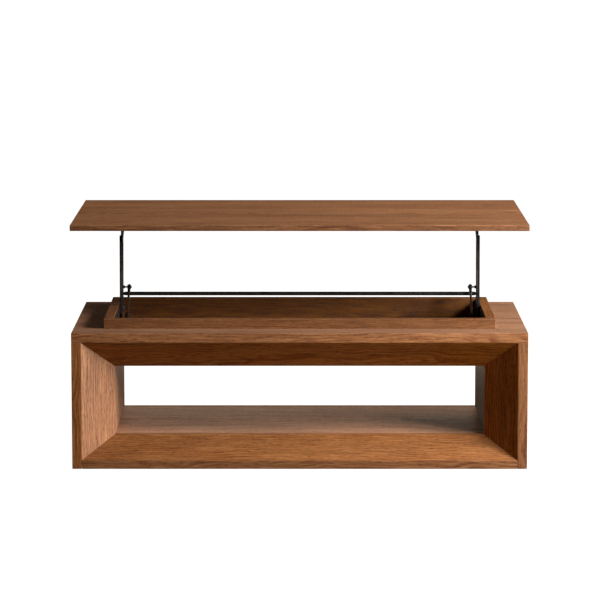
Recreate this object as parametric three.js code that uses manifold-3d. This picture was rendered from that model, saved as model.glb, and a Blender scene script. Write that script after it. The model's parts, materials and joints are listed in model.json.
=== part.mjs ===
// A lift top coffee table: a low cabinet with a tunnel shelf and a storage compartment,
// and a flat lid on two pairs of parallel arms that swing it up and back, with two gas struts.
// Millimetres, +Z up. The origin is on the floor under the middle of the cabinet.
// +X runs along the table and the lid swings towards +Y as it rises. It is modelled raised.
import * as THREE from "three";
import { mergeVertices } from "three/addons/utils/BufferGeometryUtils.js";
import Module from "manifold-3d";

const wasm = await Module();
wasm.setup();

// Clearances
const GLUE_GAP = 0.3; // between boards that are glued or screwed together
const BORE_CLEARANCE = 0.25; // round a pin in its hole, on the radius
const PLATE_GAP = 0.3; // between plates that slide past each other

// Cabinet
const BASE_WIDTH = 1186;
const BASE_DEPTH = 576;
const BASE_HEIGHT = 358;
const BOARD = 25; // outer side and top boards, and the compartment's walls
const BOTTOM_BOARD = 22;
const LINER = 18; // boards that line the tunnel, and the compartment's floor
const GLIDE_HEIGHT = 4;
const GLIDE_RADIUS = 14;
const GLIDE_INSET = 75; // from the cabinet's edges to a glide's centre

// Sloping frame round both mouths of the tunnel
const FRAME_DEPTH = 72; // how far back the slope runs
const FRAME_SIDE = 83.6; // how far in it comes at each side
const FRAME_TOP = 72.6;
const FRAME_BOTTOM = 57.3;
const FRAME_BOARD = 18; // its boards, measured along Y

// Compartment
const RIM_INSET = 80; // from the cabinet's edges to the compartment's walls
const RIM_HEIGHT = 25; // of the walls above the cabinet's top
const BUMPER_HEIGHT = 1.5;
const BUMPER_RADIUS = 5;
const BUMPER_GLUE = 0.1; // film of adhesive under a bumper

// Lid
const LID_WIDTH = 1220;
const LID_DEPTH = 610;
const LID_BOARD = 16;
const LID_CLOSED_GAP = 2; // between the compartment's walls and the closed lid

// Arms
const ARM_LENGTH = 220; // pivot to pivot
const ARM_WIDTH = 18;
const ARM_THICKNESS = 6;
const RAISED_ANGLE = 94; // from pointing at -Y, so the raised arms lean past upright
const CLOSED_ANGLE = 1.6;
const REAR_PIVOT_Y = 118;
const PIVOT_STEP_Y = 66; // from the rear arm's pivots to the front arm's
const PIVOT_STEP_Z = 24;
const PIVOT_DROP = 12.5; // from the lid's underside to the rear arm's upper pivot
const PIN_RADIUS = 4;
const PIN_HEAD_RADIUS = 6.5;
const PIN_HEAD = 1.5;
const BAR_RADIUS = 5.2;
const BAR_ALONG = 38.3; // the cross bar's place along the rear arms

// Brackets
const BRACKET = 2; // plate thickness
const BRACKET_FLANGE = 20;
const BRACKET_MARGIN = 12; // plate left round a pin
const BRACKET_TOP_GAP = 3; // from the compartment walls' top down to the cabinet bracket's
const BRACKET_CORNER = 10; // radius of its upper corners
const BRACKET_FRONT_GAP = 3; // from the compartment's front wall to the bracket

// Gas struts
const STRUT_OFFSET = 15.5; // from the arms' inner faces to the middle of the strut
const STRUT_ALONG = 56.4; // the strut's pin along the rear arm
const STRUT_ANGLE = 35; // above level, raised
const STRUT_LENGTH = 225; // pin to pin, raised
const STRUT_BARREL_START = 106; // from the upper pin to the cylinder, raised
const STRUT_ROD_RADIUS = 3;
const STRUT_ROD_INSIDE = 20; // of the rod in the cylinder, raised
const STRUT_BARREL_RADIUS = 6.5;
const STRUT_WALL_END = 6; // the cylinder's closed end
const STRUT_EYE_RADIUS = 6;
const STRUT_EYE_WIDTH = 10;
const STRUT_STEM_RADIUS = 4;
const STRUT_STEM = 20; // from the pin to the end of a fitting
const STRUT_FOOT_STEM = 10;
const STUD_RADIUS = 2.25;

const ROUND = 24; // sides of a round solid

// Heights and places that follow from these
const halfWidth = BASE_WIDTH / 2;
const halfDepth = BASE_DEPTH / 2;
const baseTop = GLIDE_HEIGHT + BASE_HEIGHT;
const topBoardUnder = baseTop - BOARD;
const sideInner = halfWidth - BOARD;
const bottomBoardTop = GLIDE_HEIGHT + BOTTOM_BOARD;
const tunnelHalf = sideInner - FRAME_SIDE;
const tunnelCeiling = topBoardUnder - FRAME_TOP;
const tunnelFloor = bottomBoardTop + FRAME_BOTTOM;
const frameBack = halfDepth - FRAME_DEPTH - FRAME_BOARD; // the tunnel side of the sloping frame
const rimOuterX = halfWidth - RIM_INSET;
const rimOuterY = halfDepth - RIM_INSET;
const rimInnerX = rimOuterX - BOARD;
const rimInnerY = rimOuterY - BOARD;
const rimTop = baseTop + RIM_HEIGHT;
const storeFloor = tunnelCeiling + LINER;

const rad = THREE.MathUtils.degToRad;
const swing = (angle, length) => ({
  y: -Math.cos(rad(angle)) * length,
  z: Math.sin(rad(angle)) * length,
});
const raised = swing(RAISED_ANGLE, ARM_LENGTH);
const closed = swing(CLOSED_ANGLE, ARM_LENGTH);
const lidY = raised.y - closed.y; // of the raised lid's middle
const lidUnder = rimTop + LID_CLOSED_GAP + raised.z - closed.z;
const rearPivot = { y: REAR_PIVOT_Y, z: lidUnder - PIVOT_DROP - raised.z };
const frontPivot = { y: rearPivot.y - PIVOT_STEP_Y, z: rearPivot.z - PIVOT_STEP_Z };
const armLean = rad(90 - RAISED_ANGLE); // turn about X that stands an arm up as raised

// Layers of steel beside each compartment wall, as distances from the table's middle
const plateOuter = rimInnerX - PLATE_GAP;
const plateInner = plateOuter - BRACKET;
const armOuter = plateInner - PLATE_GAP;
const armInner = armOuter - ARM_THICKNESS;
const tabOuter = armInner - PLATE_GAP;
const tabInner = tabOuter - BRACKET;
const strutX = armInner - STRUT_OFFSET;

// Materials
const wood = new THREE.MeshStandardMaterial({ color: 0x8a5c3c, roughness: 0.55, metalness: 0 });
const darkWood = new THREE.MeshStandardMaterial({ color: 0x6f4a31, roughness: 0.6, metalness: 0 });
const blackSteel = new THREE.MeshStandardMaterial({ color: 0x17171a, roughness: 0.45, metalness: 0.6 });
const brightSteel = new THREE.MeshStandardMaterial({ color: 0xb8babd, roughness: 0.25, metalness: 1 });
const felt = new THREE.MeshStandardMaterial({ color: 0x2c2522, roughness: 0.95, metalness: 0 });
const clearRubber = new THREE.MeshStandardMaterial({ color: 0xcfc8bd, roughness: 0.5, metalness: 0 });

const table = new THREE.Group();

function addPiece(name, geometry, material, parent = table) {
  const mesh = new THREE.Mesh(geometry, material);
  mesh.name = name;
  parent.add(mesh);
  return mesh;
}

// A block between two corners.
function block(x0, x1, y0, y1, z0, z1) {
  const g = new THREE.BoxGeometry(Math.abs(x1 - x0), Math.abs(y1 - y0), Math.abs(z1 - z0));
  return g.translate((x0 + x1) / 2, (y0 + y1) / 2, (z0 + z1) / 2);
}

// A flat plate across X: its outline and round holes are drawn as Y and Z.
function plateAcrossX(outline, holes, x0, x1) {
  const shape = new THREE.Shape(outline.map(([y, z]) => new THREE.Vector2(y, z)));
  for (const hole of holes) {
    shape.holes.push(new THREE.Path().absarc(hole.y, hole.z, hole.radius, 0, Math.PI * 2, true));
  }
  const low = Math.min(x0, x1);
  const g = new THREE.ExtrudeGeometry(shape, {
    depth: Math.abs(x1 - x0),
    bevelEnabled: false,
    curveSegments: ROUND,
  });
  const turn = new THREE.Matrix4().makeBasis(
    new THREE.Vector3(0, 1, 0),
    new THREE.Vector3(0, 0, 1),
    new THREE.Vector3(1, 0, 0),
  );
  return g.applyMatrix4(turn).translate(low, 0, 0);
}

// A round bar along X.
function barAlongX(radius, x0, x1, y, z) {
  const g = new THREE.CylinderGeometry(radius, radius, Math.abs(x1 - x0), ROUND);
  return g.rotateZ(-Math.PI / 2).translate((x0 + x1) / 2, y, z);
}

// A solid turned about the Y axis from pairs of radius and height.
function turned(profile) {
  return new THREE.LatheGeometry(profile.map(([r, y]) => new THREE.Vector2(r, y)), ROUND);
}

// Points of an arc about (y, z), from one angle to another in degrees.
function arc(y, z, radius, from, to, steps = 8) {
  return Array.from({ length: steps + 1 }, (_, i) => {
    const a = rad(from + ((to - from) * i) / steps);
    return [y + radius * Math.cos(a), z + radius * Math.sin(a)];
  });
}

function toSolid(geometry) {
  const bare = geometry.index ? geometry.toNonIndexed() : geometry.clone();
  bare.deleteAttribute("normal");
  bare.deleteAttribute("uv");
  const merged = mergeVertices(bare, 1e-4);
  const mesh = new wasm.Mesh({
    numProp: 3,
    vertProperties: merged.attributes.position.array,
    triVerts: new Uint32Array(merged.index.array),
  });
  return new wasm.Manifold(mesh);
}

function fromSolid(solid) {
  const mesh = solid.getMesh();
  const g = new THREE.BufferGeometry();
  g.setAttribute("position", new THREE.BufferAttribute(mesh.vertProperties, 3));
  g.setIndex(new THREE.BufferAttribute(mesh.triVerts, 1));
  return g;
}

// The pieces joined, less the cutters.
function joined(pieces, cutters = []) {
  const whole = pieces.map(toSolid).reduce((a, b) => a.add(b));
  return fromSolid(cutters.map(toSolid).reduce((a, b) => a.subtract(b), whole));
}

// --- Cabinet ---

function makeCabinet() {
  const opening = new THREE.Shape([
    new THREE.Vector2(-halfWidth, -halfDepth),
    new THREE.Vector2(halfWidth, -halfDepth),
    new THREE.Vector2(halfWidth, halfDepth),
    new THREE.Vector2(-halfWidth, halfDepth),
  ]);
  const cutX = rimOuterX + GLUE_GAP;
  const cutY = rimOuterY + GLUE_GAP;
  opening.holes.push(
    new THREE.Path([
      new THREE.Vector2(-cutX, -cutY),
      new THREE.Vector2(-cutX, cutY),
      new THREE.Vector2(cutX, cutY),
      new THREE.Vector2(cutX, -cutY),
    ]),
  );
  const top = new THREE.ExtrudeGeometry(opening, { depth: BOARD, bevelEnabled: false });
  addPiece("top_panel", top.translate(0, 0, topBoardUnder), wood);

  for (const [name, side] of [["left", -1], ["right", 1]]) {
    const panel = block(
      side * sideInner, side * halfWidth, -halfDepth, halfDepth, GLIDE_HEIGHT, topBoardUnder - GLUE_GAP,
    );
    addPiece(name + "_side_panel", panel, wood);
    const wall = block(
      side * tunnelHalf, side * (tunnelHalf + LINER), -frameBack + GLUE_GAP, frameBack - GLUE_GAP,
      tunnelFloor + GLUE_GAP, tunnelCeiling - GLUE_GAP,
    );
    addPiece(name + "_tunnel_wall", wall, wood);
  }
  const bottomX = sideInner - GLUE_GAP;
  const bottom = block(-bottomX, bottomX, -halfDepth, halfDepth, GLIDE_HEIGHT, bottomBoardTop);
  addPiece("bottom_panel", bottom, wood);

  const innerY = frameBack - GLUE_GAP;
  const innerX = sideInner - GLUE_GAP;
  const shelf = block(-innerX, innerX, -innerY, innerY, tunnelFloor - LINER, tunnelFloor);
  addPiece("tunnel_floor", shelf, wood);
  const ceiling = block(-innerX, innerX, -innerY, innerY, tunnelCeiling, storeFloor);
  addPiece("compartment_floor", ceiling, darkWood);
}

// One board of a sloping frame: a four-sided face from the outer edge, at the cabinet's face,
// to the inner edge, at the tunnel, and the same face FRAME_BOARD further in.
function slopingBoard(outer, inner, way) {
  const front = [...outer, ...inner].map(([x, z], i) => {
    const y = i < 2 ? halfDepth : halfDepth - FRAME_DEPTH;
    return new THREE.Vector3(x, way * y, z);
  });
  const back = front.map((p) => p.clone().setY(p.y - way * FRAME_BOARD));
  const corners = [...front, ...back];
  const faces = [
    [0, 1, 2, 3], [7, 6, 5, 4], [1, 0, 4, 5], [3, 2, 6, 7], [2, 1, 5, 6], [0, 3, 7, 4],
  ];
  const positions = [];
  for (const [a, b, c, d] of faces) {
    const quad = way > 0 ? [a, b, c, a, c, d] : [a, c, b, a, d, c];
    for (const i of quad) positions.push(...corners[i].toArray());
  }
  const g = new THREE.BufferGeometry();
  return g.setAttribute("position", new THREE.Float32BufferAttribute(positions, 3));
}

function makeSlopingFrames() {
  const x0 = sideInner - GLUE_GAP;
  const x1 = tunnelHalf;
  const low0 = bottomBoardTop + GLUE_GAP;
  const low1 = tunnelFloor;
  const high0 = topBoardUnder - GLUE_GAP;
  const high1 = tunnelCeiling;
  const g = GLUE_GAP / 2; // each board stops this far short of the mitre
  for (const [name, way] of [["front", -1], ["back", 1]]) {
    const boards = {
      top: [[[-x0 + g, high0], [x0 - g, high0]], [[x1 - g, high1], [-x1 + g, high1]]],
      bottom: [[[x0 - g, low0], [-x0 + g, low0]], [[-x1 + g, low1], [x1 - g, low1]]],
      left: [[[-x0, low0 + g], [-x0, high0 - g]], [[-x1, high1 - g], [-x1, low1 + g]]],
      right: [[[x0, high0 - g], [x0, low0 + g]], [[x1, low1 + g], [x1, high1 - g]]],
    };
    for (const [place, [outer, inner]] of Object.entries(boards)) {
      addPiece(name + "_bevel_" + place, slopingBoard(outer, inner, way), wood);
    }
  }
}

function makeCompartment() {
  const z0 = storeFloor + GLUE_GAP;
  for (const [name, way] of [["front", -1], ["back", 1]]) {
    const wall = block(-rimOuterX, rimOuterX, way * rimInnerY, way * rimOuterY, z0, rimTop);
    addPiece("compartment_wall_" + name, wall, wood);
  }
  const endY = rimInnerY - GLUE_GAP;
  for (const [name, side] of [["left", -1], ["right", 1]]) {
    const wall = block(side * rimInnerX, side * rimOuterX, -endY, endY, z0, rimTop);
    addPiece("compartment_wall_" + name, wall, wood);
  }
  const bumperX = rimOuterX - BOARD / 2;
  const bumperY = rimOuterY - BOARD / 2;
  let number = 0;
  for (const x of [-bumperX, bumperX]) {
    for (const y of [-bumperY, bumperY]) {
      number += 1;
      const disc = new THREE.CylinderGeometry(BUMPER_RADIUS, BUMPER_RADIUS, BUMPER_HEIGHT, ROUND);
      disc.rotateX(Math.PI / 2).translate(x, y, rimTop + BUMPER_GLUE + BUMPER_HEIGHT / 2);
      addPiece("bumper_" + number, disc, clearRubber);
    }
  }
}

function makeGlides() {
  const places = [[0, 0]];
  for (const x of [-1, 1]) {
    for (const y of [-1, 1]) {
      places.push([x * (halfWidth - GLIDE_INSET), y * (halfDepth - GLIDE_INSET)]);
    }
  }
  places.forEach(([x, y], i) => {
    const height = GLIDE_HEIGHT - GLUE_GAP;
    const disc = new THREE.CylinderGeometry(GLIDE_RADIUS, GLIDE_RADIUS, height, ROUND);
    const name = i === 0 ? "glide_middle" : "glide_" + i;
    addPiece(name, disc.rotateX(Math.PI / 2).translate(x, y, height / 2), felt);
  });
}

// --- Lid and mechanism ---

// A pin from a round head at headFace, through an arm and a plate, to shankEnd.
function pivotPin(side, at, headFace, shankEnd) {
  const headIn = headFace - PLATE_GAP - PIN_HEAD;
  const shank = shankEnd - headIn;
  const g = turned([[0, 0], [PIN_HEAD_RADIUS, 0], [PIN_HEAD_RADIUS, PIN_HEAD], [PIN_RADIUS, PIN_HEAD],
    [PIN_RADIUS, shank], [0, shank]]);
  g.rotateZ(-side * Math.PI / 2);
  return g.translate(side * headIn, at.y, at.z);
}

function pinHole(at) {
  return { y: at.y, z: at.z, radius: PIN_RADIUS + BORE_CLEARANCE };
}

const rearTop = { y: rearPivot.y + raised.y, z: rearPivot.z + raised.z };
const frontTop = { y: frontPivot.y + raised.y, z: frontPivot.z + raised.z };
const pinAlongRear = swing(RAISED_ANGLE, STRUT_ALONG);
const strutTop = { y: rearPivot.y + pinAlongRear.y, z: rearPivot.z + pinAlongRear.z };
const strutFoot = {
  y: strutTop.y - STRUT_LENGTH * Math.cos(rad(STRUT_ANGLE)),
  z: strutTop.z - STRUT_LENGTH * Math.sin(rad(STRUT_ANGLE)),
};

function makeLid() {
  const y0 = lidY - LID_DEPTH / 2;
  const y1 = lidY + LID_DEPTH / 2;
  addPiece("lid", block(-LID_WIDTH / 2, LID_WIDTH / 2, y0, y1, lidUnder, lidUnder + LID_BOARD), wood);
  const m = BRACKET_MARGIN;
  const flangeTop = lidUnder - GLUE_GAP;
  const outline = [
    ...arc(frontTop.y, frontTop.z, m, 180, 300),
    ...arc(rearTop.y, rearTop.z, m, 300, 360),
    [rearTop.y + m, flangeTop],
    [frontTop.y - m, flangeTop],
  ];
  for (const [name, side] of [["left", -1], ["right", 1]]) {
    const plate = plateAcrossX(
      outline, [pinHole(rearTop), pinHole(frontTop)], side * tabInner, side * tabOuter,
    );
    const flange = block(
      side * (tabOuter - BRACKET_FLANGE), side * tabOuter, frontTop.y - m, rearTop.y + m,
      flangeTop - BRACKET, flangeTop,
    );
    addPiece("lid_bracket_" + name, joined([plate, flange]), blackSteel);
    addPiece("upper_pin_rear_" + name, pivotPin(side, rearTop, tabInner, armOuter), brightSteel);
    addPiece("upper_pin_front_" + name, pivotPin(side, frontTop, tabInner, armOuter), brightSteel);
  }
}

function makeBaseBrackets() {
  const foot = storeFloor + GLUE_GAP;
  const y0 = BRACKET_FRONT_GAP - rimInnerY;
  const y1 = rearPivot.y + BRACKET_MARGIN;
  const c = BRACKET_CORNER;
  const cornerZ = rimTop - BRACKET_TOP_GAP - c;
  const outline = [
    [y0, foot],
    [y1, foot],
    ...arc(y1 - c, cornerZ, c, 0, 90),
    ...arc(y0 + c, cornerZ, c, 90, 180),
  ];
  for (const [name, side] of [["left", -1], ["right", 1]]) {
    const plate = plateAcrossX(
      outline, [pinHole(rearPivot), pinHole(frontPivot)], side * plateInner, side * plateOuter,
    );
    const flange = block(
      side * (plateOuter - BRACKET_FLANGE), side * plateOuter, y0, y1, foot, foot + BRACKET,
    );
    addPiece("base_bracket_" + name, joined([plate, flange]), blackSteel);
    addPiece("lower_pin_rear_" + name, pivotPin(side, rearPivot, armInner, plateOuter), brightSteel);
    addPiece("lower_pin_front_" + name, pivotPin(side, frontPivot, armInner, plateOuter), brightSteel);
    const studEnd = strutX + STRUT_EYE_WIDTH / 2 + PLATE_GAP;
    const stud = barAlongX(
      STUD_RADIUS, side * studEnd, side * (plateInner - PLATE_GAP), strutFoot.y, strutFoot.z,
    );
    addPiece("lower_strut_stud_" + name, stud, brightSteel);
  }
}

// An arm in its own frame: its lower pivot at the origin and its upper pivot up Z.
function armPlate(side) {
  const r = ARM_WIDTH / 2;
  const outline = [...arc(0, 0, r, 180, 360, 12), ...arc(0, ARM_LENGTH, r, 0, 180, 12)];
  const holes = [pinHole({ y: 0, z: 0 }), pinHole({ y: 0, z: ARM_LENGTH })];
  return plateAcrossX(outline, holes, side * armInner, side * armOuter);
}

function armGroup(pivot) {
  const group = new THREE.Group();
  group.position.set(0, pivot.y, pivot.z);
  group.rotation.x = armLean;
  table.add(group);
  return group;
}

function makeArms() {
  const rear = armGroup(rearPivot);
  const front = armGroup(frontPivot);
  for (const [name, side] of [["left", -1], ["right", 1]]) {
    addPiece("rear_arm_" + name, armPlate(side), blackSteel, rear);
    addPiece("front_arm_" + name, armPlate(side), blackSteel, front);
    const studIn = strutX - STRUT_EYE_WIDTH / 2 - BRACKET;
    const stud = barAlongX(
      STUD_RADIUS, side * studIn, side * (armInner - PLATE_GAP), 0, STRUT_ALONG,
    );
    addPiece("upper_strut_stud_" + name, stud, brightSteel, rear);
  }
  const barEnd = armInner - PLATE_GAP;
  addPiece("cross_bar", barAlongX(BAR_RADIUS, -barEnd, barEnd, 0, BAR_ALONG), blackSteel, rear);
}

// A strut in its own frame: its lower end at the origin and its upper end along Y.
function makeStruts() {
  const eyeHalf = STRUT_EYE_WIDTH / 2;
  for (const [name, side] of [["left", -1], ["right", 1]]) {
    const strut = new THREE.Group();
    strut.position.set(side * strutX, strutFoot.y, strutFoot.z);
    strut.rotation.x = rad(STRUT_ANGLE);
    table.add(strut);

    const eye = barAlongX(STRUT_EYE_RADIUS, -eyeHalf, eyeHalf, STRUT_LENGTH, 0);
    const stem = turned([[0, 0], [STRUT_STEM_RADIUS, 0], [STRUT_STEM_RADIUS, STRUT_STEM],
      [0, STRUT_STEM]]);
    stem.translate(0, STRUT_LENGTH - STRUT_STEM, 0);
    const bore = barAlongX(
      STUD_RADIUS + BORE_CLEARANCE, -STRUT_EYE_WIDTH, STRUT_EYE_WIDTH, STRUT_LENGTH, 0,
    );
    addPiece("strut_rod_end_" + name, joined([eye, stem], [bore]), blackSteel, strut);

    const barrelEnd = STRUT_LENGTH - STRUT_BARREL_START;
    const rodLow = barrelEnd - STRUT_ROD_INSIDE;
    const rodHigh = STRUT_LENGTH - STRUT_STEM - GLUE_GAP;
    const rod = new THREE.CylinderGeometry(STRUT_ROD_RADIUS, STRUT_ROD_RADIUS, rodHigh - rodLow, ROUND);
    addPiece("strut_rod_" + name, rod.translate(0, (rodLow + rodHigh) / 2, 0), brightSteel, strut);

    const start = STRUT_FOOT_STEM + GLUE_GAP;
    const bore0 = start + STRUT_WALL_END;
    const boreRadius = STRUT_ROD_RADIUS + BORE_CLEARANCE;
    const barrel = turned([[0, start], [STRUT_BARREL_RADIUS, start], [STRUT_BARREL_RADIUS, barrelEnd],
      [boreRadius, barrelEnd], [boreRadius, bore0], [0, bore0]]);
    addPiece("strut_cylinder_" + name, barrel, blackSteel, strut);

    const footEye = barAlongX(STRUT_EYE_RADIUS, -eyeHalf, eyeHalf, 0, 0);
    const footStem = turned([[0, 0], [STRUT_STEM_RADIUS, 0], [STRUT_STEM_RADIUS, STRUT_FOOT_STEM],
      [0, STRUT_FOOT_STEM]]);
    addPiece("strut_foot_" + name, joined([footEye, footStem]), blackSteel, strut);
  }
}

makeCabinet();
makeSlopingFrames();
makeCompartment();
makeGlides();
makeLid();
makeBaseBrackets();
makeArms();
makeStruts();

export default table;
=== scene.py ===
# %% [markdown]
# # A lift top coffee table
# The table is a low cabinet of stained oak with a tunnel right through it and a compartment
# in its top. A flat lid swings up and back on two pairs of black steel arms, helped by two
# gas struts. The frame already holds every part at its real size, so this lesson gives each
# one its made surface: the softened edges of a board, the bends and rivets of a bracket, and
# materials that are worked out from real sizes.

# %% Load the frame
import json
import math
import random

import bmesh
import bpy
from mathutils import Matrix, Vector


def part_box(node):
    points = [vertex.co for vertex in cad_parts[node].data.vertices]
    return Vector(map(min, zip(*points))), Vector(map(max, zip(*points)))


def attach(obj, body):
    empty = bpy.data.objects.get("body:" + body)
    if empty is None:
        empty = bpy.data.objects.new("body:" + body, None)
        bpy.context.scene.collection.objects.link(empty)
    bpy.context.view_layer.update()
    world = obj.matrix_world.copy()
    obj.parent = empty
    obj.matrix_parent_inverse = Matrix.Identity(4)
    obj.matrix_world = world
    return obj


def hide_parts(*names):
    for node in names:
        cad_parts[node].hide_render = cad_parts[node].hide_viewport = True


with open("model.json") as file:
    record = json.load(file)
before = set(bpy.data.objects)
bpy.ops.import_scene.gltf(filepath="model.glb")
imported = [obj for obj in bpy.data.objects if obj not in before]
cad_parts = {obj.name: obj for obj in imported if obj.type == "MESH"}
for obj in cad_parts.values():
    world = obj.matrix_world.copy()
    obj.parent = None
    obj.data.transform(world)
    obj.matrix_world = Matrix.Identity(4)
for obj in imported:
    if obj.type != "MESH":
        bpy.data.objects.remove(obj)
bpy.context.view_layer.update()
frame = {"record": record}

MM = 0.001
BODIES = frame["record"]["behaviour"]["bodies"]
BODY_OF = {node: body for body, nodes in BODIES.items() for node in nodes}
SIDES = {"left": -1, "right": 1}

# %% [markdown]
# ## Camera
# In a studio, furniture is seen from far away through a long lens, so that its upright
# edges stay upright. The camera stands nearly eight metres back and looks a little down.

# %% Camera
CAMERA_BACK = 7.854  # metres in front of the cabinet's face
CAMERA_UP = 1.570  # above the cabinet's bottom board
CAMERA_SIDE = 0.0008  # to the right of the table's middle
CAMERA_DOWN = math.radians(8.15)

cabinet_low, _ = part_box("bottom_panel")
camera_data = bpy.data.cameras.new("studio_camera")
camera_data.lens = 184.0  # millimetres, on a 36 mm sensor
camera_data.clip_end = 100
camera = bpy.data.objects.new("studio_camera", camera_data)
bpy.context.scene.collection.objects.link(camera)
camera.location = (CAMERA_SIDE, cabinet_low.y - CAMERA_BACK, cabinet_low.z + CAMERA_UP)
camera.rotation_euler = (math.pi / 2 - CAMERA_DOWN, 0, 0)
bpy.context.scene.camera = camera
print("camera stands at", [round(v, 3) for v in camera.location])

# %% [markdown]
# ## Colours and nodes
# Paint shops and screens give colours as sRGB hex values, and a renderer counts light, so
# one function turns the first into the second. Another adds a node with its settings and
# its links in one line, and returns the output that the next node reads.

# %% Helpers for materials
def colour(hex_text):
    """An sRGB hex colour as the linear colour that the shader works with."""
    parts = [int(hex_text[i:i + 2], 16) / 255 for i in (1, 3, 5)]
    linear = [p / 12.92 if p <= 0.04045 else ((p + 0.055) / 1.055) ** 2.4 for p in parts]
    return (*linear, 1.0)


def add(tree, kind, inputs=(), out=0, stops=(), **settings):
    """Adds a node with its settings, its values or links, and a ramp's stops."""
    node = tree.nodes.new("ShaderNode" + kind)
    for key, value in settings.items():
        setattr(node, key, value)
    for key, value in dict(inputs).items():
        if isinstance(value, bpy.types.NodeSocket):
            tree.links.new(value, node.inputs[key])
        else:
            node.inputs[key].default_value = value
    for number, (place, value) in enumerate(stops):
        elements = node.color_ramp.elements
        element = elements[number] if number < 2 else elements.new(place)
        element.position = place
        element.color = value if isinstance(value, tuple) else (value, value, value, 1)
    return node.outputs[out] if len(node.outputs) else node


def shaded(name):
    """A new material, with its node tree and its shader."""
    material = bpy.data.materials.new(name)
    material.use_nodes = True
    tree = material.node_tree
    tree.nodes.clear()
    surface = add(tree, "BsdfPrincipled")
    add(tree, "OutputMaterial", {"Surface": surface})
    return material, tree, surface.node


def across(tree, place, length, width, detail, seed):
    """Noise drawn out along X: spots of about this length and width, in metres.

    The seed moves the noise, so that two patterns don't share their spots.
    """
    scaled = add(tree, "VectorMath", {0: place, 1: (1 / length, 1 / width, 1 / width)},
                 operation="MULTIPLY")
    moved = add(tree, "VectorMath", {0: scaled, 1: (seed, 1.7 * seed, 0.6 * seed)},
                operation="ADD")
    return add(tree, "TexNoise", {"Vector": moved, "Scale": 1.0, "Detail": detail})


print("helpers for materials are ready")

# %% [markdown]
# ## Floor and light
# The floor is a wide sheet of pale paper. It glows, as a sweep lit from below does in a
# studio, so that it is white out to the horizon, and it throws no light up at the table.
# Three soft lights stand close together on the right, a little in front, and draw the
# shadows. One high behind the table lights its back. Two long low ones behind it send a sheen
# along the level boards, the nearer one only along the tunnel's floor.

# %% Floor
FLOOR_SIZE = 60.0

bpy.ops.object.select_all(action="DESELECT")
bpy.ops.mesh.primitive_plane_add(size=FLOOR_SIZE, location=(0, 0, 0))
floor = bpy.context.object
floor.name = "studio_floor"
pale_paper, _, paper_shader = shaded("pale_paper")
paper_shader.inputs["Base Color"].default_value = colour("#6e6d6b")
paper_shader.inputs["Roughness"].default_value = 0.9
paper_shader.inputs["Specular IOR Level"].default_value = 0.0
paper_shader.inputs["Emission Color"].default_value = colour("#f4f4f4")
paper_shader.inputs["Emission Strength"].default_value = 1.12  # a little more than white
floor.data.materials.append(pale_paper)
floor.visible_diffuse = False
floor.visible_glossy = False
print("the floor is", FLOOR_SIZE, "metres wide")

# %% Lights
AIM = Vector((0, 0, 0.35))  # the point that every light faces


def soft_light(name, azimuth, elevation, distance, size, power, tint):
    """A light aimed at the table. Azimuth 0 is in front of it and 90 is on its right."""
    data = bpy.data.lights.new(name, "AREA")
    data.shape = "RECTANGLE"
    data.size, data.size_y = size
    data.energy = power
    data.color = colour(tint)[:3]
    light = bpy.data.objects.new(name, data)
    bpy.context.scene.collection.objects.link(light)
    turn, rise = math.radians(azimuth), math.radians(elevation)
    way = Vector((
        math.sin(turn) * math.cos(rise), -math.cos(turn) * math.cos(rise), math.sin(rise),
    ))
    light.location = AIM + way * distance
    light.rotation_euler = way.to_track_quat("Z", "Y").to_euler()
    light.visible_camera = False
    return light


soft_light("key_light", 66, 27, 3.0, (0.6, 0.6), 92, "#fffaf4")
soft_light("side_light", 82, 26, 3.0, (0.5, 0.5), 54, "#fffaf4")
soft_light("face_light", 55, 16, 2.6, (0.8, 0.8), 62, "#fffaf4")
back_light = soft_light("back_light", 172, 45, 3.6, (1.2, 1.2), 48, "#fffaf4")
back_light.visible_glossy = False  # it lights the back, and leaves no shine on the lid
soft_light("horizon_light", 180, 4, 3.4, (3.2, 0.3), 1.4, "#fff6e6")
soft_light("tunnel_light", 180, -8, 1.15, (1.6, 0.26), 1.6, "#fff0d8")
world = bpy.data.worlds.new("studio")
world.use_nodes = True
background = world.node_tree.nodes["Background"]
background.inputs["Color"].default_value = colour("#ffc284")
background.inputs["Strength"].default_value = 0.06
bpy.context.scene.world = world
bpy.context.scene.view_settings.view_transform = "Standard"
print("floor and", len(bpy.data.lights), "lights are placed")

# %% [markdown]
# ## Stained oak
# The boards are faced with oak, stained a warm brown and given a satin lacquer. Oak has
# growth rings a few millimetres apart, with rows of open pores in each ring's early wood
# that the stain darkens, and the rings bow into long arches where the saw runs across them.
# A flat image would stretch round the edges, so the pattern is solid, as if each board were
# cut from a round log: it carries the place that it had in the log, in metres, as an
# attribute, with X along the grain. The distance from the log's middle gives the rings, and
# a slow bend of the log gives the arches.

# %% Stained oak
RING = 4.4 * MM  # from one growth ring to the next
PORE_WIDTH = 1.6 * MM  # real pores are 0.3 mm wide and 10 mm long, drawn coarser so that they show
PORE_LENGTH = 14 * MM
FIBRE_WIDTH = 2.4 * MM  # streaks of lighter and darker fibres
FIBRE_LENGTH = 60 * MM
BEND_WIDTH = 90 * MM
BEND_LENGTH = 260 * MM  # along the log, for one slow bend
BEND = 34 * MM  # how far the log bends to the side
LEAF_WIDTH = 60 * MM  # lighter and darker bands across a leaf of veneer
LEAF_LENGTH = 900 * MM
CLEAR_WIDTH = 30 * MM  # patches where the rings show more
CLEAR_LENGTH = 200 * MM
RUB_WIDTH = 12 * MM  # patches where an eased edge is rubbed paler
RUB_LENGTH = 50 * MM
EARLY_WOOD = "#b98f6e"
FILLED_PORE = "#7c5236"
RUBBED_EDGE = "#4a3020"


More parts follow.
